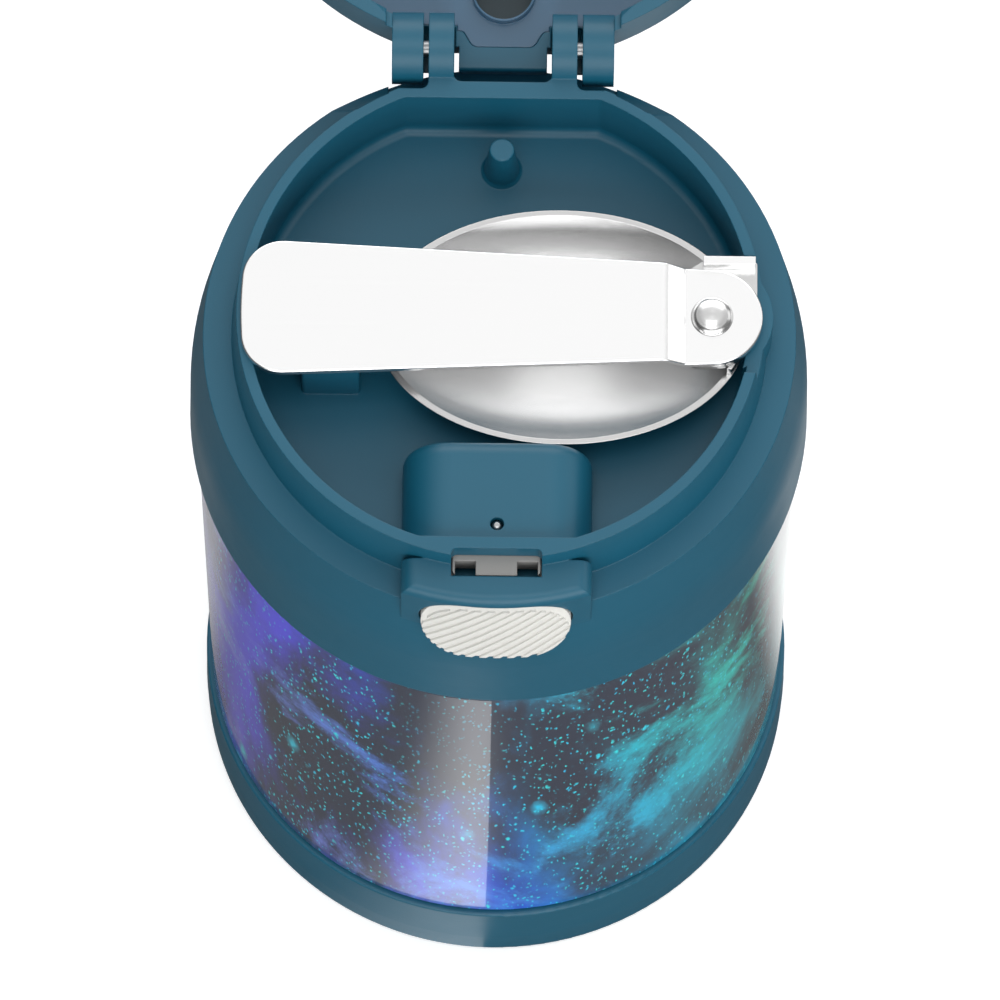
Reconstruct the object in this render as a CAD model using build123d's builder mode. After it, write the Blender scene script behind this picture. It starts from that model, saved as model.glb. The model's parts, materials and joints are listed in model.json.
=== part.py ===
from build123d import *

import os

# Insulated food jar: a vacuum vessel, a screw lid with a tray for its folding spoon, and a flip
# lid on a rear hinge with a push-button latch.
# Millimetres, +Z up. The origin is the centre of the base. The button is at -Y, the hinge at +Y.
# The flip lid stands open, the screw lid is tight, and the folded spoon lies in its tray.

os.makedirs("parts", exist_ok=True)

# ---------------------------------------------------------------- driving dimensions
STEEL = 0.5  # wall of the vessel
BODY_R = 45.0
FOOT_R = 43.4  # the body steps in here for the boot
BOOT_R = 46.0
BOOT_TOP = 16.2
SHOULDER_Z = 117.0
NECK_R = 38.8
MOUTH_R = 36.6
MOUTH_Z = 140.0
FOOD_R = 37.5
FOOD_FLOOR = 15.0
CAP_Z = 7.0

THREAD_PITCH = 4.0
THREAD_TURNS = 1.25
SLEEVE_R = 42.3
SLEEVE_WALL = 1.3
SLEEVE_FOOT = 122.0
PLUG_R = 36.0
PLUG_Z = 123.5
FLANGE_TOP = 142.5

LEDGE_Z = 147.0
LEDGE_R = 43.4
SKIRT_R = 46.0
SKIRT_Z = 116.5
RING_TOP = 156.3
RING_FOOT_R = 39.2
RING_R = 38.35
TRAY_R = 36.7
TRAY_Z = 144.5
RING_BACK_Y = 33.8  # the tray's flat back and front walls
RING_FRONT_Y = -34.9
TRAY_ROUND = 1.4  # between the tray's floor and walls
PEG_Y = 27.2
PEG_TOP = 152.5
REST_X = (-28.8, -20.3)  # the rest block for the spoon handle
REST_Y = 8.5
BULGE = (30.5, 0.8)  # centre of the wall that bulges round the spoon's hinge
BULGE_R = 9.4

HINGE_Y = 42.1
HINGE_Z = 155.0
KNUCKLE_R = 5.3
KNUCKLE = (7.2, 10.9)  # x of the screw lid's two knuckles, each side
ARM = (11.7, 16.3)  # x of the flip lid's two arms, each side
PIN_R = 1.2
HINGE_X = 16.9
OPEN_ANGLE = 170.0
FLAP_X = 6.5  # half the width of the flap between the knuckles
FLAP_Y = 44.5
FLAP_EDGE = 0.6
SCOOP_R = 10.45  # room round the hinge line for the open lid
SCOOP_FLOOR = 143.3
RELIEF_R = 38.2  # the ring wall beside the hinge
RELIEF_Y = (36.4, 35.2)  # the ring's rear face between the knuckles, and behind the arms
RELIEF_FLOOR_Y = 38.4
KNUCKLE_ROOT = 1.0  # rounding where a knuckle meets the ring

HOOD_X = 13.8
HOOD_R = 44.3
HOOD_TOP = 153.3
BUTTON_Z = 145.1
BUTTON_WIDE = 21.8
BUTTON_HIGH = 13.0
BUTTON_R = (43.4, 46.9)  # distance of the button's face from the axis, at its top and foot
RIB_STEP = 2.03  # along the button's foot
RIB_TILT = 39.0
RIB_WIDE = 0.62
RIB_HIGH = 0.3
RIB_MARGIN = 2.0  # plain strip along the button's top
TUNNEL_Y = -38.9
SLOT_X = 6.55
SLOT_Y = (-39.9, -36.7)
PLATE_Z = (149.9, 151.6)  # the slide's low plate
PLATE_X = 8.5
BLOCK_TOP = 155.0
BLOCK_REAR_Y = -19.2
BLOCK_ROUND = 7.0
LATCH_PIN_Y = -32.45
LATCH_PIN_R = 0.8
LATCH_PIN_TOP = 154.6
SPRING_Y = (-29.45, -21.25)
SPRING_Z = 149.0
SPRING_R = 2.2
SPRING_WIRE = 0.25

LID_R = 43.4
LID_WALL = 2.0
LID_FOOT = 148.0
LID_TOP = 164.0
CEILING_Z = 158.4
LINER = 1.6
BOSS_Y = 32.7
BOSS_R = (4.4, 4.7)
BOSS_HIGH = 1.9
HOOKS_X = (3.2, -5.8)
HOOK_WIDE = 2.6
HOOK_FOOT = 148.2
LINER_REAR = 38.5
LINER_TAB = 40.9

BOWL_CENTRE = (9.0, -0.2)
BOWL_LONG = 27.2
BOWL_WIDE = 18.4
BOWL_RIM = 151.3
BOWL_DEEP = 6.4
BOWL_WALL = 0.8
RIVET_X = 30.9
HANDLE_Z = 156.5
SHEET = 1.0  # the handle and the tang
JOGGLE_X = (23.9, 26.8)  # where the handle steps down
TANG_Z = 153.45
NOTCH_Z = 153.35
NOTCH_Y = (-8.9, 9.3)

hinge_axis = Axis((0, HINGE_Y, HINGE_Z), (1, 0, 0))


# ---------------------------------------------------------------- helpers
def section(*corners):
    """A closed face from corners given as (x, y) or (x, y, rounding)."""
    with BuildLine() as outline:
        FilletPolyline(
            *[corner[:2] for corner in corners],
            radius=[corner[2] if len(corner) > 2 else 0 for corner in corners],
            close=True,
        )
    make_face(outline.edges())


def block(x, y, z, mode=Mode.ADD):
    """A box between two limits on each axis."""
    with Locations(((x[0] + x[1]) / 2, (y[0] + y[1]) / 2, (z[0] + z[1]) / 2)):
        Box(x[1] - x[0], y[1] - y[0], z[1] - z[0], mode=mode)


def both_sides(x, y, z, mode=Mode.ADD):
    """The same box at +X and at -X."""
    block(x, y, z, mode)
    block((-x[1], -x[0]), y, z, mode)


def barrel(x, radius, mode=Mode.ADD):
    """A cylinder round the hinge line between two x values."""
    with BuildSketch(Plane((x[0], HINGE_Y, HINGE_Z), x_dir=(0, 1, 0), z_dir=(1, 0, 0))) as disc:
        Circle(radius)
    extrude(disc.sketch, amount=x[1] - x[0], mode=mode)


def corner_fill(x, y, away):
    """A rounding in plan where a knuckle's side at x meets the ring's rear face at y."""
    with BuildSketch(Plane.XY.offset(LEDGE_Z - 0.5)) as plan:
        with Locations((x + away * (KNUCKLE_ROOT - 0.5) / 2, y + (KNUCKLE_ROOT - 0.5) / 2)):
            Rectangle(KNUCKLE_ROOT + 0.5, KNUCKLE_ROOT + 0.5)
        with Locations((x + away * (KNUCKLE_ROOT + 0.05), y + KNUCKLE_ROOT + 0.05)):
            Circle(KNUCKLE_ROOT, mode=Mode.SUBTRACT)
    extrude(plan.sketch, amount=RING_TOP - LEDGE_Z + 0.48)


def thread(root, crest, start_z):
    """A helical ridge from a wall of radius root to its crest."""
    with BuildLine() as path:
        Helix(THREAD_PITCH, THREAD_PITCH * THREAD_TURNS, root, center=(0, 0, start_z))
    with BuildSketch(Plane(origin=path.line @ 0, x_dir=(1, 0, 0), z_dir=path.line % 0)) as ridge:
        height = crest - root
        bite = -0.25 if height > 0 else 0.25
        section((bite, -1.3), (height, -0.6), (height, 0.6), (bite, 1.3))
    sweep(ridge.sketch, path=path.line, is_frenet=True)


# ---------------------------------------------------------------- vacuum vessel
with BuildPart() as outer_shell:
    with BuildSketch(Plane.XZ):
        section(
            (0, 2.6),
            (FOOT_R, 2.6, 0.6),
            (FOOT_R, BOOT_TOP + 0.4),
            (BODY_R, BOOT_TOP + 0.4, 0.4),
            (BODY_R, SHOULDER_Z, 3.0),
            (NECK_R, SHOULDER_Z, 1.5),
            (NECK_R, MOUTH_Z - STEEL),
            (0, MOUTH_Z - STEEL),
        )
    revolve(axis=Axis.Z)
    with BuildSketch(Plane.XZ):
        section(
            (0, 2.0),
            (FOOT_R - STEEL, 2.0),
            (FOOT_R - STEEL, BOOT_TOP + 0.9),
            (BODY_R - STEEL, BOOT_TOP + 0.9),
            (BODY_R - STEEL, SHOULDER_Z - STEEL, 2.5),
            (NECK_R - STEEL, SHOULDER_Z - STEEL, 2.0),
            (NECK_R - STEEL, MOUTH_Z),
            (0, MOUTH_Z),
        )
    revolve(axis=Axis.Z, mode=Mode.SUBTRACT)
    thread(NECK_R, 40.3, 127.0)

with BuildPart() as inner_liner:
    with BuildSketch(Plane.XZ):
        section(
            (0, FOOD_FLOOR - STEEL),
            (FOOD_R + STEEL, FOOD_FLOOR - STEEL, 6.5),
            (FOOD_R + STEEL, 117.0, 2.0),
            (MOUTH_R + STEEL, 119.5, 2.0),
            (MOUTH_R + STEEL, MOUTH_Z - STEEL, 0.3),
            (NECK_R, MOUTH_Z - STEEL),
            (NECK_R, MOUTH_Z),
            (0, MOUTH_Z),
        )
    revolve(axis=Axis.Z)
    with BuildSketch(Plane.XZ):
        section(
            (0, FOOD_FLOOR),
            (FOOD_R, FOOD_FLOOR, 6.0),
            (FOOD_R, 116.9, 2.0),
            (MOUTH_R, 119.4, 2.0),
            (MOUTH_R, MOUTH_Z),
            (0, MOUTH_Z),
        )
    revolve(axis=Axis.Z, mode=Mode.SUBTRACT)

with BuildPart() as base_cap:
    with BuildSketch(Plane.XZ):
        section(
            (0, CAP_Z - STEEL),
            (FOOT_R - 2 * STEEL - 0.05, CAP_Z - STEEL, 0.6),
            (FOOT_R - 2 * STEEL - 0.05, 3.2),
            (FOOT_R - STEEL - 0.05, 3.2),
            (FOOT_R - STEEL - 0.05, CAP_Z, 1.1),
            (0, CAP_Z),
        )
    revolve(axis=Axis.Z)
    Cylinder(0.7, 30, mode=Mode.SUBTRACT)

with BuildPart() as getter:
    with BuildSketch(Plane.XY.offset(CAP_Z)):
        with Locations((20, 0)):
            Circle(5.0)
    extrude(amount=0.4)
    with BuildSketch(Plane.XY.offset(CAP_Z + 0.4)):
        with Locations((20, 0)):
            Circle(4.0)
    extrude(amount=1.8)

with BuildPart() as vacuum_seal:
    with BuildSketch(Plane.XZ):
        section(
            (0, CAP_Z - 0.2),
            (0.65, CAP_Z - 0.2),
            (0.65, CAP_Z - STEEL),
            (3.2, CAP_Z - STEEL),
            (3.0, CAP_Z - STEEL - 1.0, 0.5),
            (0, CAP_Z - STEEL - 1.4),
        )
    revolve(axis=Axis.Z)

with BuildPart() as base_boot:
    with BuildSketch(Plane.XZ):
        section(
            (0, 0),
            (BOOT_R - 0.1, 0, 0.9),
            (BOOT_R, 6.0, 8.0),
            (BOOT_R - 0.2, BOOT_TOP, 0.5),
            (FOOT_R + 0.05, BOOT_TOP),
            (FOOT_R + 0.05, 2.2, 0.8),
            (0, 2.2),
        )
    revolve(axis=Axis.Z)

# ---------------------------------------------------------------- stopper under the tray
with BuildPart() as stopper_liner:
    with BuildSketch(Plane.XZ):
        section(
            (0, PLUG_Z),
            (PLUG_R - 0.3, PLUG_Z, 2.0),
            (PLUG_R, FLANGE_TOP - 1.2, 0.3),
            (SLEEVE_R - SLEEVE_WALL, FLANGE_TOP - 1.2, 0.4),
            (SLEEVE_R - SLEEVE_WALL, SLEEVE_FOOT),
            (SLEEVE_R, SLEEVE_FOOT, 0.4),
            (SLEEVE_R, FLANGE_TOP),
            (PLUG_R - 1.6, FLANGE_TOP),
            (PLUG_R - 1.8, PLUG_Z + 1.5, 1.0),
            (0, PLUG_Z + 1.5),
        )
    revolve(axis=Axis.Z)
    thread(SLEEVE_R - SLEEVE_WALL, 39.7, 125.0)

with BuildPart() as foam_insulation:
    with BuildSketch(Plane.XY.offset(PLUG_Z + 1.6)):
        Circle(PLUG_R - 2.9)
    extrude(amount=FLANGE_TOP - PLUG_Z - 1.7)

with BuildPart() as lid_gasket:
    with BuildSketch(Plane.XZ):
        section(
            (PLUG_R + 0.05, MOUTH_Z + 0.05, 0.3),
            (NECK_R - 0.2, MOUTH_Z + 0.05, 0.3),
            (NECK_R - 0.2, FLANGE_TOP - 1.25, 0.3),
            (PLUG_R + 0.35, FLANGE_TOP - 1.25),
        )
    revolve(axis=Axis.Z)

# ---------------------------------------------------------------- screw lid
with BuildPart() as lid_collar:
    # skirt, ledge, ring wall and tray floor
    with BuildSketch(Plane.XZ):
        section(
            (0, FLANGE_TOP),
            (SLEEVE_R + 0.05, FLANGE_TOP),
            (SLEEVE_R + 0.05, 124.0, 6.0),
            (SKIRT_R - 2.1, SKIRT_Z),
            (SKIRT_R, SKIRT_Z, 0.7),
            (SKIRT_R - 0.5, 134.0, 60.0),
            (LEDGE_R, LEDGE_Z),
            (RING_FOOT_R, LEDGE_Z),
            (RING_R, RING_TOP),
            (0, RING_TOP),
        )
    revolve(axis=Axis.Z)
    # the tray, with its flat front and back walls
    with BuildSketch(Plane.XY.offset(TRAY_Z)):
        Circle(TRAY_R)
        with Locations((0, (RING_FRONT_Y + RING_BACK_Y) / 2)):
            Rectangle(2 * TRAY_R, RING_BACK_Y - RING_FRONT_Y, mode=Mode.INTERSECT)
        fillet(vertices(), 1.5)
    extrude(amount=20, mode=Mode.SUBTRACT)
    tray_floor_edges = edges(Select.LAST).filter_by_position(Axis.Z, TRAY_Z - 0.01, TRAY_Z + 0.01)
    fillet(tray_floor_edges, TRAY_ROUND)
    # relief behind the ring for the hinge and the open lid
    block((-HINGE_X, HINGE_X), (RELIEF_Y[0], 60), (LEDGE_Z, 170), Mode.SUBTRACT)
    both_sides((KNUCKLE[1], HINGE_X), (RELIEF_Y[1], 60), (LEDGE_Z, 170), Mode.SUBTRACT)
    block((-HINGE_X, HINGE_X), (RELIEF_FLOOR_Y, 60), (SCOOP_FLOOR, 170), Mode.SUBTRACT)
    for side in (1, -1):
        with BuildPart(mode=Mode.PRIVATE) as scoop:
            barrel(sorted((side * (HINGE_X - 0.2), side * 26)), SCOOP_R)
            Cylinder(RELIEF_R, 400, mode=Mode.SUBTRACT)
        add(scoop.part, mode=Mode.SUBTRACT)
    # knuckles
    for side in (1, -1):
        x = sorted((side * KNUCKLE[0], side * KNUCKLE[1]))
        barrel(x, KNUCKLE_R)
        with BuildSketch(Plane((x[0], 0, 0), x_dir=(0, 1, 0), z_dir=(1, 0, 0))):
            section(
                (34.0, LEDGE_Z - 0.5),
                (40.3, LEDGE_Z - 0.5),
                (40.3, HINGE_Z - 4.9),
                (HINGE_Y, HINGE_Z),
                (38.0, RING_TOP),
                (34.0, RING_TOP),
            )
        extrude(amount=x[1] - x[0])
        corner_fill(side * KNUCKLE[0], RELIEF_Y[0], -side)
        corner_fill(side * KNUCKLE[1], RELIEF_Y[1], side)
        barrel(sorted((side * (KNUCKLE[0] + 0.6), side * 20)), PIN_R, Mode.SUBTRACT)
    # spoon notch on the right, with the wall bulging round it
    with BuildSketch(Plane.XY.offset(LEDGE_Z - 0.5)):
        with Locations(BULGE):
            Circle(BULGE_R)
        Circle(TRAY_R - 0.5, mode=Mode.SUBTRACT)
    extrude(amount=NOTCH_Z - LEDGE_Z + 0.5)
    block((30, 45), NOTCH_Y, (NOTCH_Z, 170), Mode.SUBTRACT)
    # rest block for the spoon handle, and the round peg
    with BuildSketch(Plane.XY.offset(TRAY_Z - 0.5)):
        section(
            (REST_X[0], -REST_Y, 0.6),
            (REST_X[1], -REST_Y, 0.6),
            (REST_X[1], REST_Y, 0.6),
            (REST_X[0], REST_Y, 0.6),
        )
    extrude(amount=HANDLE_Z - 0.1 - TRAY_Z + 0.5)
    with BuildSketch(Plane((0, PEG_Y, 0), x_dir=(1, 0, 0), z_dir=(0, -1, 0))):
        section(
            (0, TRAY_Z - 0.5),
            (3.4, TRAY_Z - 0.5),
            (2.6, TRAY_Z + 0.6, 0.6),
            (1.8, PEG_TOP, 0.3),
            (0, PEG_TOP),
        )
    revolve(axis=Axis((0, PEG_Y, 0), (0, 0, 1)))
    # front block over the latch
    with BuildPart(mode=Mode.PRIVATE) as front_block:
        with BuildSketch(Plane((0, BLOCK_REAR_Y, 0), x_dir=(1, 0, 0), z_dir=(0, -1, 0))):
            section(
                (-HOOD_X, TRAY_Z - 0.5),
                (HOOD_X, TRAY_Z - 0.5),
                (HOOD_X, BLOCK_TOP, BLOCK_ROUND),
                (-HOOD_X, BLOCK_TOP, BLOCK_ROUND),
            )
        extrude(amount=36.0 + BLOCK_REAR_Y)
        rear_edges = front_block.faces().sort_by(Axis.Y)[-1].edges()
        fillet(rear_edges.filter_by_position(Axis.Z, TRAY_Z, 170), 2.4)
    add(front_block.part)
    # hood over the button, its front following the skirt
    with BuildPart(mode=Mode.PRIVATE) as hood:
        block((-HOOD_X, HOOD_X), (-50, -37.2), (130, HOOD_TOP))
        fillet(hood.edges().filter_by(Axis.Y).group_by(Axis.Z)[-1], 2.2)
        with BuildSketch(Plane.XZ):
            section(
                (SLEEVE_R + 0.1, 128),
                (44.0, 128),
                (HOOD_R, 137.5, 20.0),
                (HOOD_R, HOOD_TOP, 1.6),
                (36, HOOD_TOP),
                (36, LEDGE_Z - 2.0),
                (SLEEVE_R + 0.1, LEDGE_Z - 2.0),
            )
        revolve(axis=Axis.Z, mode=Mode.INTERSECT)
    add(hood.part)
    # tunnel for the button, passages for the slide, and the slot for the hooks
    with BuildSketch(Plane((0, TUNNEL_Y, 0), x_dir=(1, 0, 0), z_dir=(0, -1, 0))):
        with Locations((0, BUTTON_Z)):
            SlotOverall(BUTTON_WIDE + 0.6, BUTTON_HIGH + 0.4)
    extrude(amount=15, mode=Mode.SUBTRACT)
    block((-PLATE_X - 0.2, PLATE_X + 0.2), (-42.6, -27.5), (149.8, 151.75), Mode.SUBTRACT)
    block((-SLOT_X, SLOT_X), (-39.9, -33.4), (151.0, HOOD_TOP), Mode.SUBTRACT)
    block((-SLOT_X, SLOT_X), (-39.9, -35.9), (147.6, 150.0), Mode.SUBTRACT)
    with BuildSketch(Plane.XY.offset(148.0)):
        with Locations((0, sum(SLOT_Y) / 2)):
            RectangleRounded(2 * SLOT_X, SLOT_Y[1] - SLOT_Y[0], 0.9)
    extrude(amount=20, mode=Mode.SUBTRACT)
    block((-11.5, 11.5), (-36.5, -21.2), (140.0, 151.75), Mode.SUBTRACT)
    with Locations((0, LATCH_PIN_Y, BLOCK_TOP)):
        Cylinder(LATCH_PIN_R + 0.2, 8, mode=Mode.SUBTRACT)

# ---------------------------------------------------------------- latch
with BuildPart() as latch_retainer:
    block((-11.4, 11.4), (-36.4, -21.3), (FLANGE_TOP + 0.05, TRAY_Z - 0.1))
    both_sides((6.9, 8.3), (-34.5, -23.0), (TRAY_Z - 0.1, PLATE_Z[0] - 0.05))

with BuildPart() as latch_pin:
    with BuildSketch(Plane((0, LATCH_PIN_Y, 0), x_dir=(1, 0, 0), z_dir=(0, -1, 0))):
        section(
            (0, TRAY_Z - 0.1),
            (LATCH_PIN_R, TRAY_Z - 0.1),
            (LATCH_PIN_R, LATCH_PIN_TOP, 0.6),
            (0, LATCH_PIN_TOP),
        )
    revolve(axis=Axis((0, LATCH_PIN_Y, 0), (0, 0, 1)))

with BuildPart() as latch_slide:
    block((-PLATE_X, PLATE_X), (-42.0, -29.5), PLATE_Z)
    block((-7.0, 7.0), (-42.0, -40.9), (143.2, PLATE_Z[1]))
    block((-3.5, 3.5), (-31.0, -29.5), (146.3, PLATE_Z[1]))
    with BuildSketch(Plane.XY.offset(PLATE_Z[1])):
        with Locations((0, -37.6)):
            RectangleRounded(12.7, 4.2, 0.8)
    extrude(amount=1.5)
    both_sides((3.0, 6.0), (-40.8, -37.5), (149.0, 154.0), Mode.SUBTRACT)
    block((-0.9, 0.9), (-35.15, -31.6), (149.0, 154.0), Mode.SUBTRACT)
    with BuildSketch(Plane((0, -29.5, SPRING_Z), x_dir=(1, 0, 0), z_dir=(0, 1, 0))):
        Circle(1.5)
    extrude(amount=2.0)

with BuildPart() as latch_spring:
    with BuildLine() as coil:
        Helix(
            pitch=1.15,
            height=SPRING_Y[1] - SPRING_Y[0] - 2 * SPRING_WIRE,
            radius=SPRING_R,
            center=(0, SPRING_Y[0] + SPRING_WIRE, SPRING_Z),
            direction=(0, 1, 0),
        )
    with BuildSketch(Plane(origin=coil.line @ 0, z_dir=coil.line % 0)):
        Circle(SPRING_WIRE)
    sweep(path=coil.line, is_frenet=True)


def button_cone(inset):
    """The solid that the button's leaning face lies on, smaller by inset."""
    lean = (BUTTON_R[1] - BUTTON_R[0]) / BUTTON_HIGH
    low, high = BUTTON_Z - 9, BUTTON_Z + 9
    middle = sum(BUTTON_R) / 2 - inset
    with BuildPart() as cone:
        with BuildSketch(Plane.XZ) as half:
            section((0, low), (middle + 9 * lean, low), (middle - 9 * lean, high), (0, high))
        revolve(half.sketch, axis=Axis.Z)
    return cone.part


def racetrack(inset):
    """The button's outline as a solid from its rear edge forwards, smaller by inset."""
    with BuildPart() as bar:
        with BuildSketch(Plane((0, -41.5, 0), x_dir=(1, 0, 0), z_dir=(0, -1, 0))) as outline:
            with Locations((0, BUTTON_Z)):
                SlotOverall(BUTTON_WIDE - 2 * inset, BUTTON_HIGH - 2 * inset)
        extrude(outline.sketch, amount=8)
    return bar.part


def slanting_bars():
    """Bars across the button, rising to the right, before they are cut to its outline."""
    places = [Location((step * RIB_STEP, BUTTON_Z), RIB_TILT) for step in range(-9, 10)]
    with BuildPart() as bars:
        with BuildSketch(Plane((0, -41.5, 0), x_dir=(1, 0, 0), z_dir=(0, -1, 0))) as strips:
            with Locations(*places):
                Rectangle(2 * BUTTON_WIDE, RIB_WIDE)
        extrude(strips.sketch, amount=8)
    return bars.part


button_body = racetrack(0) & button_cone(0)
button_hollow = racetrack(1.2) & button_cone(1.2)
rib_field = racetrack(0.06) & Pos(0, 0, -RIB_MARGIN) * racetrack(0)
button_ribs = (slanting_bars() & rib_field & button_cone(-RIB_HIGH)) - button_cone(0.6)

with BuildPart() as push_button:
    add(button_body)
    add(button_ribs)
    add(button_hollow, mode=Mode.SUBTRACT)
    block((-12, 12), (-44.4, -40), (135, 143), Mode.SUBTRACT)
    block((-8.7, 8.7), (-42.1, -41), (149.7, 153), Mode.SUBTRACT)
    for x in (-5, 5):
        with BuildSketch(Plane((x, -42.0, 146.5), x_dir=(1, 0, 0), z_dir=(0, -1, 0))):
            Circle(1.6)
        extrude(amount=1.9)

# ---------------------------------------------------------------- hinge pins
with BuildPart() as hinge_pins:
    for side in (1, -1):
        barrel(sorted((side * (KNUCKLE[0] + 0.65), side * (ARM[1] - 0.8))), PIN_R - 0.01)


# ---------------------------------------------------------------- flip lid, modelled closed
def liner_plan(grow):
    """Outline of the lid's lining, with the rear edge stepping out to the flap."""
    rear = LINER_REAR + grow
    side_rear = HINGE_Y - 4.4 + grow
    tab = LINER_TAB + grow
    Circle(LID_R - LID_WALL - 0.1 + grow)
    with BuildSketch(mode=Mode.PRIVATE) as edge:
        section(
            (-50, side_rear),
            (-6.8 - grow, side_rear),
            (-6.8 - grow, rear),
            (-5.9 - grow, rear, 1.0),
            (-4.5 - grow, tab, 1.4),
            (4.5 + grow, tab, 1.4),
            (5.9 + grow, rear, 1.0),
            (6.8 + grow, rear),
            (6.8 + grow, side_rear),
            (50, side_rear),
            (50, -50),
            (-50, -50),
        )
    add(edge.sketch, mode=Mode.INTERSECT)


with BuildPart() as lid_solid:
    with BuildSketch(Plane.XZ):
        section(
            (0, LID_FOOT),
            (LID_R, LID_FOOT),
            (LID_R, LID_TOP - 0.7, 5.2),
            (0, LID_TOP),
        )
    revolve(axis=Axis.Z)

with BuildPart() as rear_block:
    add(lid_solid.part)
    with BuildSketch(Plane((-ARM[1], 0, 0), x_dir=(0, 1, 0), z_dir=(1, 0, 0))):
        section(
            (36, CEILING_Z),
            (FLAP_Y, CEILING_Z, FLAP_EDGE),
            (FLAP_Y, LID_TOP - 1.4, 2.4),
            (36, LID_TOP - 1.0),
        )
    extrude(amount=2 * ARM[1])
    block((-17, 17), (33, 50), (CEILING_Z, 170), Mode.INTERSECT)
    with BuildSketch(Plane.XY.offset(CEILING_Z - 1)):
        liner_plan(0.05)
    extrude(amount=LINER + 1.05, mode=Mode.SUBTRACT)
    with Locations((0, BOSS_Y, CEILING_Z)):
        Cylinder(BOSS_R[1] + 0.1, 7.6, mode=Mode.SUBTRACT)

with BuildPart() as shell_closed:
    add(lid_solid.part)
    with BuildSketch(Plane.XZ):
        inner = LID_R - LID_WALL
        section((0, 140), (inner, 140), (inner, LID_TOP - 1.8, 2.0), (0, LID_TOP - 1.6))
    revolve(axis=Axis.Z, mode=Mode.SUBTRACT)
    add(rear_block.part)
    block((-ARM[1], ARM[1]), (28, 50), (140, CEILING_Z), Mode.SUBTRACT)
    block((-14.3, 14.3), (-50, -36), (140, 153.6), Mode.SUBTRACT)
    both_sides((FLAP_X, KNUCKLE[0]), (40.9, 50), (CEILING_Z - 1, 170), Mode.SUBTRACT)
    # the foot beside the arms clears the ring wall as the lid swings
    both_sides((ARM[1], ARM[1] + 0.9), (36, 50), (140, LID_FOOT + 2.0), Mode.SUBTRACT)
    with BuildPart(mode=Mode.PRIVATE) as swing:
        with BuildSketch(Plane.XY.offset(HINGE_Z)) as wall:
            Circle(RELIEF_R + 0.2)
            with Locations((0, 35)):
                Rectangle(48, 30, mode=Mode.INTERSECT)
        revolve(wall.sketch, axis=hinge_axis, revolution_arc=90)
    add(swing.part, mode=Mode.SUBTRACT)
    for side in (1, -1):
        barrel(sorted((side * (KNUCKLE[0] - 0.2), side * ARM[0])), KNUCKLE_R + 0.15, Mode.SUBTRACT)
        barrel(sorted((side * ARM[0], side * ARM[1])), KNUCKLE_R)
        barrel(sorted((side * ARM[0], side * (ARM[1] - 0.7))), PIN_R + 0.05, Mode.SUBTRACT)

with BuildPart() as lid_shell:
    add(shell_closed.part.rotate(hinge_axis, -OPEN_ANGLE))

with BuildPart() as liner_closed:
    with BuildSketch(Plane.XY.offset(CEILING_Z)):
        liner_plan(0)
    extrude(amount=LINER)
    with BuildSketch(Plane.XY.offset(CEILING_Z + LINER)):
        Circle(30.5)
        Circle(29.0, mode=Mode.SUBTRACT)
    extrude(amount=LID_TOP - 1.9 - CEILING_Z - LINER)
    # round boss with a blind socket
    with BuildSketch(Plane.XY.offset(CEILING_Z - BOSS_HIGH)):
        with Locations((0, BOSS_Y)):
            Circle(BOSS_R[1])
    extrude(amount=BOSS_HIGH + 3.7)
    with BuildSketch(Plane.XY.offset(CEILING_Z - BOSS_HIGH)):
        with Locations((0, BOSS_Y)):
            Circle(BOSS_R[0])
    extrude(amount=BOSS_HIGH + 3.2, mode=Mode.SUBTRACT)
    # latch hooks, with barbs that catch under the slide's rear bar
    for x in HOOKS_X:
        block((x, x + HOOK_WIDE), (-39.2, -37.6), (HOOK_FOOT, CEILING_Z))
        with BuildSketch(Plane((x, 0, 0), x_dir=(0, 1, 0), z_dir=(1, 0, 0))):
            section(
                (-37.7, HOOK_FOOT + 1.55),
                (-36.3, HOOK_FOOT + 1.55),
                (-36.3, HOOK_FOOT + 1.1),
                (-37.6, HOOK_FOOT),
                (-37.7, HOOK_FOOT),
            )
        extrude(amount=HOOK_WIDE)

with BuildPart() as lid_liner:
    add(liner_closed.part.rotate(hinge_axis, -OPEN_ANGLE))

# ---------------------------------------------------------------- folding spoon
with BuildPart() as round_bowl:
    with BuildSketch(Plane.XZ):
        with BuildLine():
            outer = TangentArc((0, -BOWL_DEEP), (BOWL_WIDE, 0), tangent=(1, 0))
            inner = TangentArc((0, BOWL_WALL - BOWL_DEEP), (BOWL_WIDE - BOWL_WALL, 0), tangent=(1, 0))
            Line(outer @ 0, inner @ 0)
            Line(outer @ 1, inner @ 1)
        make_face()
    revolve(axis=Axis.Z)
long_bowl = scale(round_bowl.part, by=(BOWL_LONG / BOWL_WIDE, 1, 1))

with BuildPart() as spoon_bowl:
    add(Pos(*BOWL_CENTRE, BOWL_RIM) * long_bowl)
    # the rim rises to the tang at the hinge end
    with BuildSketch(Plane.XY.offset(BOWL_RIM - 0.2)):
        with Locations(BOWL_CENTRE):
            Ellipse(BOWL_LONG - 0.15, BOWL_WIDE - 0.15)
            Ellipse(BOWL_LONG - 0.75, BOWL_WIDE - 0.75, mode=Mode.SUBTRACT)
        with Locations((34, 0)):
            Rectangle(12, 14.8, mode=Mode.INTERSECT)
    extrude(amount=TANG_Z - BOWL_RIM + 0.3)
    with BuildSketch(Plane.XY.offset(TANG_Z)):
        section((27.0, -7.4, 2.0), (37.5, -7.4, 6.4), (37.5, 9.1, 0.5), (29.6, 9.1, 0.5), (27.0, 7.4, 0.5))
    extrude(amount=SHEET)
    block((29.6, 37.2), (7.85, 9.1), (TANG_Z + 0.5, 156.6))
    with Locations((RIVET_X, 0, TANG_Z)):
        Cylinder(1.5, 6, mode=Mode.SUBTRACT)

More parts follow.
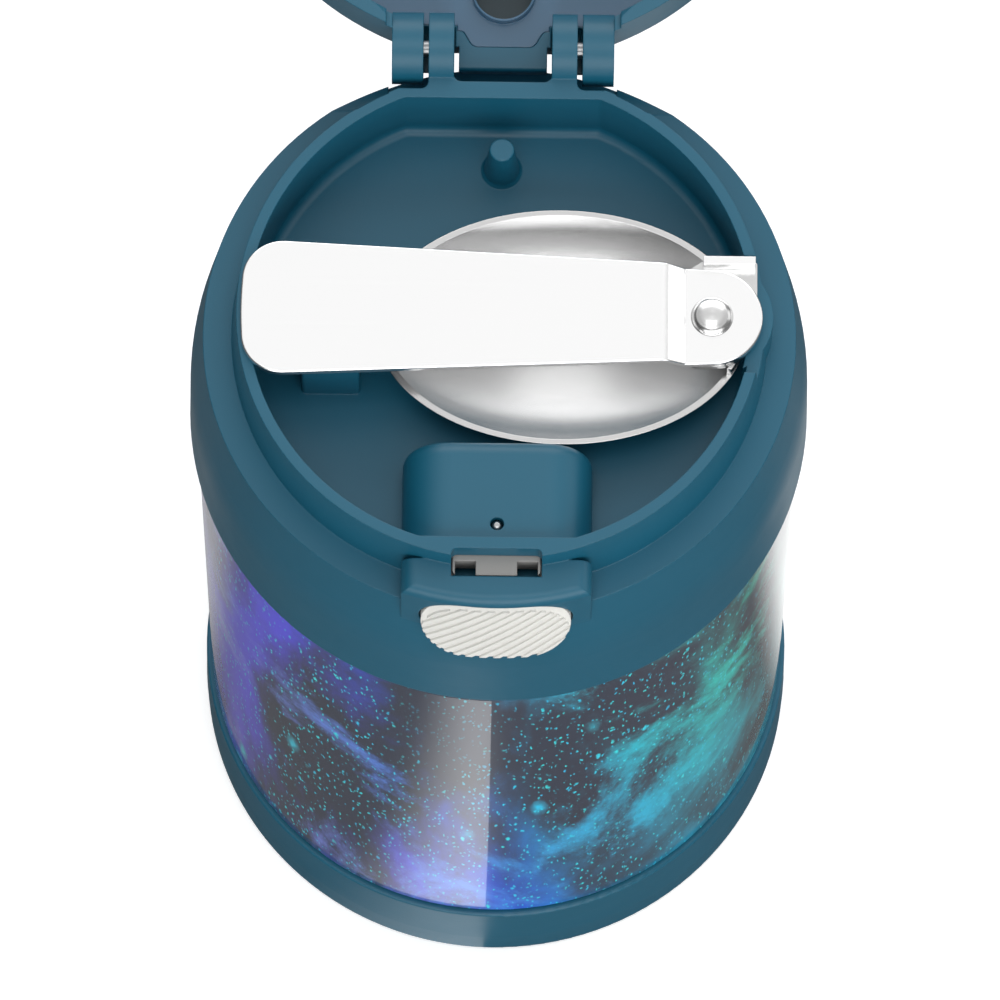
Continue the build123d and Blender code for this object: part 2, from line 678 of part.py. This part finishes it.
with BuildPart() as spoon_rivet:
    with BuildSketch(Plane((RIVET_X, 0, 0), x_dir=(1, 0, 0), z_dir=(0, -1, 0))):
        section(
            (0, TANG_Z - 1.0),
            (2.6, TANG_Z - 1.0, 0.6),
            (2.6, TANG_Z),
            (1.49, TANG_Z),
            (1.49, TANG_Z + 2.1),
            (3.05, TANG_Z + 2.1),
            (2.75, TANG_Z + 2.7, 1.2),
            (1.4, TANG_Z + 3.2, 3.5),
            (0, TANG_Z + 3.35),
        )
    revolve(axis=Axis((RIVET_X, 0, 0), (0, 0, 1)))

with BuildPart() as spoon_handle:
    with BuildSketch(Plane((0, 15, 0), x_dir=(1, 0, 0), z_dir=(0, -1, 0))):
        low = HANDLE_Z - 2.0
        section(
            (-40, HANDLE_Z),
            (JOGGLE_X[0], HANDLE_Z, 1.6),
            (JOGGLE_X[1], low, 0.6),
            (40, low),
            (40, low + SHEET),
            (JOGGLE_X[1] + 0.3, low + SHEET, 0.4),
            (JOGGLE_X[0] + 0.3, HANDLE_Z + SHEET, 2.6),
            (-40, HANDLE_Z + SHEET),
        )
    extrude(amount=30)
    with BuildSketch(Plane.XY.offset(150)):
        section(
            (-39, -10.7),
            (JOGGLE_X[0], -7.7),
            (RIVET_X, -7.4),
            (RIVET_X, 7.4),
            (JOGGLE_X[0], 7.7),
            (-39, 10.7),
        )
        with Locations((22.3, 0)):
            Circle(60, mode=Mode.INTERSECT)
        fillet(vertices().group_by(Axis.X)[0], 6.0)
        with Locations((RIVET_X, 0)):
            Circle(7.4)
    extrude(amount=10, mode=Mode.INTERSECT)
    with Locations((RIVET_X, 0, low)):
        Cylinder(1.55, 6, mode=Mode.SUBTRACT)
    fillet(edges().group_by(Axis.Z)[-1], 0.25)

# ---------------------------------------------------------------- hand over
pieces = {
    "outer_shell": outer_shell,
    "inner_liner": inner_liner,
    "base_cap": base_cap,
    "getter": getter,
    "vacuum_seal": vacuum_seal,
    "base_boot": base_boot,
    "lid_gasket": lid_gasket,
    "lid_collar": lid_collar,
    "stopper_liner": stopper_liner,
    "foam_insulation": foam_insulation,
    "latch_retainer": latch_retainer,
    "latch_pin": latch_pin,
    "latch_spring": latch_spring,
    "latch_slide": latch_slide,
    "push_button": push_button,
    "hinge_pins": hinge_pins,
    "lid_shell": lid_shell,
    "lid_liner": lid_liner,
    "spoon_bowl": spoon_bowl,
    "spoon_rivet": spoon_rivet,
    "spoon_handle": spoon_handle,
}
for name, piece in pieces.items():
    piece.part.label = name
    export_step(piece.part, f"parts/{name}.step")
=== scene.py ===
import json
import math

import bpy
from mathutils import Matrix, Vector

# Looks of the insulated food jar: finishes for its pieces, the floor, the lights and the
# camera. Everything is in metres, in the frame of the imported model.

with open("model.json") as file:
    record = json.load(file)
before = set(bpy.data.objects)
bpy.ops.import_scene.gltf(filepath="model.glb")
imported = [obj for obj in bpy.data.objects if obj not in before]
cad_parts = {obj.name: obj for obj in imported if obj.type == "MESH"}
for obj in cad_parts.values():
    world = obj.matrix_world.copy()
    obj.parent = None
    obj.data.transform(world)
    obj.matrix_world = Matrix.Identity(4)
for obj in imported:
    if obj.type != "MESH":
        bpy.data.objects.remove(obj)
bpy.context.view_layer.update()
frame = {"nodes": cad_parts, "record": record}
nodes = frame["nodes"]
MM = 0.001


# ---------------------------------------------------------------- shader building
class Value:
    """A number on a socket, with the usual operators as Math nodes."""

    def __init__(self, paint, socket):
        self.paint = paint
        self.socket = socket

    def maths(self, operation, *others):
        values = [self] + list(others)
        return self.paint.node("ShaderNodeMath", {"operation": operation}, dict(enumerate(values)))

    def __add__(self, other):
        return self.maths("ADD", other)

    def __sub__(self, other):
        return self.maths("SUBTRACT", other)

    def __mul__(self, other):
        return self.maths("MULTIPLY", other)

    def __pow__(self, other):
        return self.maths("POWER", other)

    def __radd__(self, other):
        return self + other

    def __rmul__(self, other):
        return self * other

    def __rsub__(self, other):
        return self * -1.0 + other

    def __abs__(self):
        return self.maths("ABSOLUTE")

    def over(self, edge, soft=0.0):
        """0 below edge, 1 above it, over a width of soft."""
        settings = {"interpolation_type": "SMOOTHSTEP"}
        limits = {"Value": self, "From Min": edge - soft / 2, "From Max": edge + soft / 2 + 1e-6}
        return self.paint.node("ShaderNodeMapRange", settings, limits)


class Paint:
    """The nodes of a material or of the world. Sockets are given as values, colours or links."""

    def __init__(self, owner):
        self.owner = owner
        owner.use_nodes = True
        self.tree = owner.node_tree
        self.tree.nodes.clear()

    def link(self, given, socket):
        if isinstance(given, Value):
            self.tree.links.new(given.socket, socket)
        elif socket.type == "RGBA" and len(given) == 3:
            socket.default_value = (*given, 1.0)
        else:
            socket.default_value = given

    def node(self, kind, settings, inputs, output=0):
        made = self.tree.nodes.new(kind)
        for key, value in settings.items():
            if key == "stops":
                self.stops(made.color_ramp, value)
            else:
                setattr(made, key, value)
        for key, given in inputs.items():
            self.link(given, made.inputs[key])
        return Value(self, made.outputs[output])

    def stops(self, ramp, stops):
        while len(ramp.elements) < len(stops):
            ramp.elements.new(0.5)
        for element, (place, colour) in zip(ramp.elements, stops):
            element.position = place
            element.color = (*colour, 1.0)

    def place(self):
        """Object coordinates in metres."""
        return self.node("ShaderNodeTexCoord", {}, {}, "Object")

    def axis(self, vector, name):
        return self.node("ShaderNodeSeparateXYZ", {}, {0: vector}, "XYZ".index(name))

    def stretched(self, vector, scale, turn=(0, 0, 0), move=(0, 0, 0)):
        inputs = {"Vector": vector, "Scale": scale, "Rotation": turn, "Location": move}
        return self.node("ShaderNodeMapping", {}, inputs)

    def noise(self, vector, scale, detail=2.0, roughness=0.5, distortion=0.0, output=0):
        inputs = {"Vector": vector, "Scale": scale, "Detail": detail}
        inputs |= {"Roughness": roughness, "Distortion": distortion}
        return self.node("ShaderNodeTexNoise", {}, inputs, output)

    def mix(self, factor, first, second):
        inputs = {0: factor, 6: first, 7: second}
        return self.node("ShaderNodeMix", {"data_type": "RGBA"}, inputs, 2)

    def shifted(self, vector, shift, reach):
        """A vector moved by reach, in the direction of another."""
        inputs = {0: shift, 1: (reach, reach, reach), 2: vector}
        return self.node("ShaderNodeVectorMath", {"operation": "MULTIPLY_ADD"}, inputs)

    def ramp(self, factor, *stops):
        return self.node("ShaderNodeValToRGB", {"stops": stops}, {0: factor})

    def bump(self, height, distance, strength=1.0, edge=0.0):
        """Bumps of a height, over corners that are rounded by a radius of edge."""
        inputs = {"Height": height, "Distance": distance, "Strength": strength}
        if edge:
            inputs["Normal"] = self.node("ShaderNodeBevel", {"samples": 6}, {"Radius": edge})
        return self.node("ShaderNodeBump", {}, inputs)

    def ray(self, kind):
        """1 for rays of this kind, 0 for the others."""
        return self.node("ShaderNodeLightPath", {}, {}, f"Is {kind} Ray")

    def finish(self, kind, **inputs):
        """Ends the nodes in a shader and returns the material or world that they belong to."""
        named = {key.replace("_", " "): value for key, value in inputs.items()}
        shader = self.node(kind, {}, named)
        ending = "World" if kind == "ShaderNodeBackground" else "Material"
        out = self.tree.nodes.new("ShaderNodeOutput" + ending)
        self.tree.links.new(shader.socket, out.inputs["Surface"])
        return self.owner

    def surface(self, **inputs):
        return self.finish("ShaderNodeBsdfPrincipled", **inputs)


# ---------------------------------------------------------------- finishes
# Painted shade: the inside of the round boss on the open flip lid is painted dark, with a rougher
# gloss, as the shade of its deep socket.
SOCKET_SHADE_Y = 51.95 * MM  # the boss of the open flip lid
SOCKET_SHADE_R = 4.4 * MM
SOCKET_SHADE = (0.001, 0.030, 0.045)


def moulded(name, colour, roughness=0.42, grain=0.012 * MM, edge=0.3 * MM):
    """Injection-moulded plastic: a fine spark-eroded grain and a slight unevenness of colour."""
    paint = Paint(bpy.data.materials.new(name))
    place = paint.place()
    cloud = paint.noise(place, 45.0, 3.0)
    fine = paint.noise(place, 5200.0, 2.0)
    darker = tuple(channel * 0.93 for channel in colour)
    return paint.surface(
        Base_Color=paint.mix(cloud, darker, tuple(channel * 1.05 for channel in colour)),
        Roughness=paint.noise(place, 160.0, 2.0) * 0.10 + (roughness - 0.05),
        Normal=paint.bump(fine, grain, 1.0, edge),
    )


def lining():
    """The flip lid's satin lining, with painted shade that darkens the inside of its round boss."""
    paint = Paint(bpy.data.materials.new("liner_plastic"))
    place = paint.place()
    beside = paint.axis(place, "X")
    along = paint.axis(place, "Y") - SOCKET_SHADE_Y
    # painted shade: a dark disc over the boss, where its socket lies in shade
    socket_shade = 1.0 - ((beside * beside + along * along) ** 0.5).over(SOCKET_SHADE_R, 0.2 * MM)
    cloud = paint.noise(place, 45.0, 3.0)
    satin = paint.mix(cloud, (0.036, 0.104, 0.182), (0.042, 0.116, 0.200))
    return paint.surface(
        Base_Color=paint.mix(socket_shade, satin, SOCKET_SHADE),
        Roughness=0.22 + socket_shade * 0.2,
        Normal=paint.bump(paint.noise(place, 5200.0, 2.0), 0.002 * MM, 1.0, 0.3 * MM),
    )


def brushed(name, colour, roughness, stretch, groove=0.004 * MM, edge=0.12 * MM):
    """Steel with fine scratches along the axis where stretch is small."""
    paint = Paint(bpy.data.materials.new(name))
    place = paint.place()
    lines = paint.noise(paint.stretched(place, stretch), 900.0, 4.0, 0.6)
    broad = paint.noise(paint.stretched(place, stretch), 130.0, 2.0)
    return paint.surface(
        Base_Color=paint.mix(lines, tuple(channel * 0.95 for channel in colour), colour),
        Metallic=1.0,
        Roughness=lines * 0.12 + broad * 0.05 + (roughness - 0.08),
        Normal=paint.bump(lines, groove, 0.6, edge),
    )


RIVET_X = 30.9 * MM
RIVET_R = 3.1 * MM
TANG_TOP = 154.48 * MM
# Painted reflection and shade: one steel in two colours, lighter on the handle for the overhead
# light that it mirrors, darker on the bowl and the rivet.
HANDLE_SHEEN_STEEL = (0.97, 0.97, 0.97)
BOWL_STEEL = (0.66, 0.66, 0.66)
SCRATCH = (0.5, 0.5, 0.5)


def spoon_finish():
    """Satin steel: the handle is painted lighter than the bowl and the rivet, as a painted
    reflection of the overhead light.
    """
    paint = Paint(bpy.data.materials.new("spoon_steel"))
    place = paint.place()
    across = paint.axis(place, "Y")
    along = paint.axis(place, "X") - RIVET_X
    height = paint.axis(place, "Z")
    off_rivet = ((across * across + along * along) ** 0.5).over(RIVET_R, 0.1 * MM)
    # painted reflection: the handle, above the tang and off the rivet, is painted lighter
    light = height.over(TANG_TOP, 0.1 * MM) * off_rivet
    lines = paint.noise(paint.stretched(place, (0.02, 1.0, 1.0)), 900.0, 4.0, 0.6)
    steel = paint.mix(light, BOWL_STEEL, HANDLE_SHEEN_STEEL)
    return paint.surface(
        Base_Color=paint.mix(lines * 0.05, steel, SCRATCH),
        Metallic=1.0,
        Roughness=lines * 0.04 + 0.23,
        Normal=paint.bump(lines * light, 0.0008 * MM, 0.6, 0.12 * MM),
    )


PRINT_TALL = 0.42  # the print is drawn out upwards by 1 / this
DRIFT_REACH = 30.0 * MM
STAR_JITTER = 0.9 * MM
VOID = (0.020, 0.026, 0.048)
NIGHT = (0.026, 0.036, 0.070)
# The colour of the clouds and of their glow, from the left side of the jar to the right.
CLOUDS = (
    (0.00, (0.140, 0.090, 1.000)),
    (0.30, (0.090, 0.070, 1.000)),
    (0.46, (0.010, 0.120, 0.860)),
    (0.60, (0.000, 0.320, 0.620)),
    (0.78, (0.000, 0.540, 0.640)),
    (0.93, (0.000, 0.760, 0.580)),
    (1.00, (0.020, 0.820, 0.500)),
)
GLOW = (
    (0.0, (0.360, 0.340, 1.000)),
    (0.42, (0.060, 0.300, 1.000)),
    (0.70, (0.000, 0.640, 0.920)),
    (0.92, (0.000, 1.000, 0.640)),
)
STAR_BLUE = (0.00, 0.60, 1.0)
STAR_CYAN = (0.02, 1.0, 1.0)
# Stars, as cells per metre, radius within a cell, rarity and strength.
STARS = (
    (1300.0, 0.22, 0.44, 0.9),
    (760.0, 0.15, 0.46, 1.0),
    (300.0, 0.09, 0.56, 1.0),
    (110.0, 0.12, 0.62, 0.7),
    (110.0, 0.055, 0.62, 1.0),
)


def printed_steel():
    """Glossy print of a made-up night sky: drifting clouds of colour, haze and stars."""
    paint = Paint(bpy.data.materials.new("printed_steel"))
    place = paint.stretched(paint.place(), (1.0, 1.0, PRINT_TALL))
    drift = paint.noise(place, 14.0, 2.0, 0.5, 0.0, "Color")
    warped = paint.shifted(place, drift, DRIFT_REACH)
    side = paint.axis(warped, "X")
    hue = side * 8.0 + paint.axis(warped, "Z") * 5.2 + 0.16
    # more cloud towards the sides than at the front, and most on the left
    cloud = paint.noise(warped, 30.0, 7.0, 0.56, 0.2) + abs(side) * 3.0 - side * 1.8
    dark = paint.noise(warped, 24.0, 7.0, 0.6, 0.6)
    base = paint.mix(cloud.over(0.57, 0.22), NIGHT, paint.ramp(hue, *CLOUDS))
    base = paint.mix(dark.over(0.56, 0.14) * 0.8, base, VOID)
    wisps = paint.stretched(warped, (1.0, 1.0, 1.7), (0.3, 0.8, 0.4))
    veil = paint.noise(wisps, 34.0, 12.0, 0.70, 0.4)
    veil = (veil + abs(side) - side * 0.6).over(0.61, 0.18) * 0.9
    base = paint.mix(veil, base, paint.ramp(hue, *GLOW))
    crowd = paint.noise(place, 55.0, 3.0).over(0.44, 0.24)
    jitter = paint.noise(place, 1100.0, 1.0, 0.5, 0.0, "Color")
    ragged = paint.shifted(place, jitter, STAR_JITTER)
    for scale, size, rarity, strength in STARS:
        dots = {"Vector": ragged, "Scale": scale, "Randomness": 1.0}
        distance = paint.node("ShaderNodeTexVoronoi", {}, dots, "Distance")
        pick = paint.node("ShaderNodeTexVoronoi", {}, dots, "Color")
        chance = paint.axis(pick, "X").over(rarity, 0.2) * (crowd * 0.75 + 0.25)
        star = (1.0 - distance.over(size, size * 1.2)) * chance * strength
        tint = paint.mix(paint.axis(pick, "Y"), STAR_BLUE, STAR_CYAN)
        base = paint.mix(star, base, tint)
    return paint.surface(
        Base_Color=base,
        Roughness=0.35,
        Coat_Weight=1.0,
        Coat_Roughness=0.03,
        Normal=paint.bump(paint.noise(place, 90.0, 1.0), 0.002 * MM),
    )


TEAL = (0.005, 0.100, 0.166)
finishes = {
    "teal_plastic": moulded("teal_plastic", TEAL),
    "liner_plastic": lining(),
    "button_plastic": moulded("button_plastic", (0.72, 0.715, 0.68), 0.5, edge=0.2 * MM),
    "latch_plastic": moulded("latch_plastic", (0.30, 0.295, 0.285), 0.45),
    "pale_plastic": moulded("pale_plastic", (0.60, 0.62, 0.61), 0.45),
    "foam": moulded("foam", (0.80, 0.79, 0.74), 0.9, 0.05 * MM),
    "silicone": moulded("silicone", (0.70, 0.72, 0.72), 0.5),
    "spoon_steel": spoon_finish(),
    "food_steel": brushed("food_steel", (0.70, 0.70, 0.70), 0.35, (1.0, 1.0, 0.04)),
    # painted shade: the hinge pins' steel is painted dark, for the shade of the gap between the
    # knuckles
    "pin_steel": brushed("pin_steel", (0.45, 0.46, 0.47), 0.3, (1.0, 1.0, 1.0)),
    "getter_metal": brushed("getter_metal", (0.40, 0.40, 0.42), 0.55, (1.0, 1.0, 1.0)),
    "solder_glass": moulded("solder_glass", (0.10, 0.10, 0.11), 0.3),
    "printed_steel": printed_steel(),
}
for part in frame["record"]["subparts"]:
    mesh = nodes[part["node"]].data
    mesh.materials.clear()
    mesh.materials.append(finishes[part["material_slot"]])


# ---------------------------------------------------------------- studio
FLOOR_DARK = 0.12  # what gloss sees of the floor in front and on the right
FLOOR_CARD = 1.25  # the pale card in front of the base, left of its sharp edge
CARD_EDGE_X = -1.4 * MM
CARD_FADE_X = -18.0 * MM
CARD_REACH = 90.0 * MM
FLOOR_BEHIND = 1.0  # the pale strip behind the base on the right
BEHIND_REACH = 105.0 * MM
BEHIND_Y = (6.0 * MM, 50.0 * MM)
WHITE = (1.0, 1.0, 1.0)
BLACK = (0.0, 0.0, 0.0)


def white_stage(name):
    """A pale floor that takes shadow. The camera sees it white, and gloss sees its cards."""
    paint = Paint(bpy.data.materials.new(name))
    mirrored = paint.ray("Glossy")
    place = paint.place()
    x = paint.axis(place, "X")
    y = paint.axis(place, "Y")
    reach = (x * x + y * y) ** 0.5
    card = (1.0 - x.over(CARD_EDGE_X, 0.3 * MM)) * x.over(CARD_FADE_X, 30 * MM)
    card = card * (1.0 - reach.over(CARD_REACH, 12 * MM)) * (1.0 - y.over(-20 * MM, 20 * MM))
    behind = y.over(BEHIND_Y[0], 24 * MM) * (x.over(0.0, 30 * MM) * 0.7 + 0.3)
    behind = behind * (1.0 - reach.over(BEHIND_REACH, 30 * MM))
    behind = behind * (1.0 - y.over(BEHIND_Y[1], 16 * MM))
    sheen = card * (FLOOR_CARD - FLOOR_DARK) + behind * FLOOR_BEHIND + FLOOR_DARK
    grain = paint.noise(place, 3.0, 2.0)
    pale = paint.mix(grain, (0.80, 0.80, 0.80), (0.84, 0.84, 0.84))
    return paint.surface(
        Base_Color=paint.mix(mirrored, pale, BLACK),
        Roughness=0.8,
        Emission_Color=WHITE,
        Emission_Strength=paint.ray("Camera") * 0.45 + mirrored * sheen,
    )


bpy.ops.object.select_all(action="DESELECT")
bpy.ops.mesh.primitive_plane_add(size=12.0, location=(0, 0, -0.0002))
floor = bpy.context.object
floor.name = "floor"
floor.data.materials.append(white_stage("floor"))


SKY_DOME = 0.78  # strength overhead, leaning back
SKY_BACK = 0.75  # strength low down at the back
SKY_RIGHT = 0.10  # more on the right than on the left
SKY_LEAST = 0.14


def studio_sky():
    """White to the camera. It lights the jar from a wide dome that leans back from overhead."""
    world = bpy.data.worlds.new("studio")
    paint = Paint(world)
    seen = paint.ray("Camera")
    direction = paint.node("ShaderNodeTexCoord", {}, {}, "Generated")
    up = paint.axis(direction, "Z")
    back = paint.axis(direction, "Y")
    dome = (up * 0.93 + back * 0.36).over(0.70, 0.5)
    backdrop = back.over(0.80, 0.24) * (1.0 - up.over(0.45, 0.2))
    sky = dome * SKY_DOME + backdrop * SKY_BACK + paint.axis(direction, "X") * SKY_RIGHT + SKY_LEAST
    strength = paint.node("ShaderNodeMix", {"data_type": "FLOAT"}, {0: seen, 2: sky, 3: 1.0})
    return paint.finish("ShaderNodeBackground", Color=WHITE, Strength=strength)


bpy.context.scene.world = studio_sky()


def lamp(name, place, aim, size, power):
    bpy.ops.object.light_add(type="AREA", location=place)
    light = bpy.context.object
    light.name = name
    light.data.shape = "RECTANGLE"
    light.data.size, light.data.size_y = size
    light.data.energy = power
    light.rotation_euler = (Vector(aim) - Vector(place)).to_track_quat("-Z", "Y").to_euler()


LID_MIDDLE = (0, 0, 0.12)
BODY_MIDDLE = (0, 0, 0.10)
lamp("overhead", (0.0, -0.25, 1.6), LID_MIDDLE, (0.7, 0.7), 3.6)
lamp("back_box", (0.1, 1.3, 1.0), LID_MIDDLE, (1.7, 0.9), 8.0)
lamp("front_fill", (0.2, -1.5, 0.9), BODY_MIDDLE, (2.4, 1.2), 26.0)
lamp("right_box", (1.48, 0.61, 0.71), LID_MIDDLE, (0.9, 0.9), 3.0)

# ---------------------------------------------------------------- camera
CAMERA_ELEVATION = math.radians(69.17)
CAMERA_ROLL = math.radians(0.74)
CAMERA_DISTANCE = 1.5264
CAMERA_LENS = 360.0
AIM = Vector((0.00039, 0.0, 0.07938))
looking = Vector((0, math.cos(CAMERA_ELEVATION), -math.sin(CAMERA_ELEVATION)))
right = Vector((1, 0, 0))
up = right.cross(looking)
turned_right = right * math.cos(CAMERA_ROLL) + up * math.sin(CAMERA_ROLL)
turned_up = up * math.cos(CAMERA_ROLL) - right * math.sin(CAMERA_ROLL)
data = bpy.data.cameras.new("camera")
data.lens = CAMERA_LENS
data.sensor_width = 36.0
camera = bpy.data.objects.new("camera", data)
bpy.context.scene.collection.objects.link(camera)
axes = Matrix((turned_right, turned_up, -looking)).transposed()
camera.matrix_world = Matrix.Translation(AIM - looking * CAMERA_DISTANCE) @ axes.to_4x4()
bpy.context.scene.camera = camera
bpy.context.scene.view_settings.view_transform = "Standard"
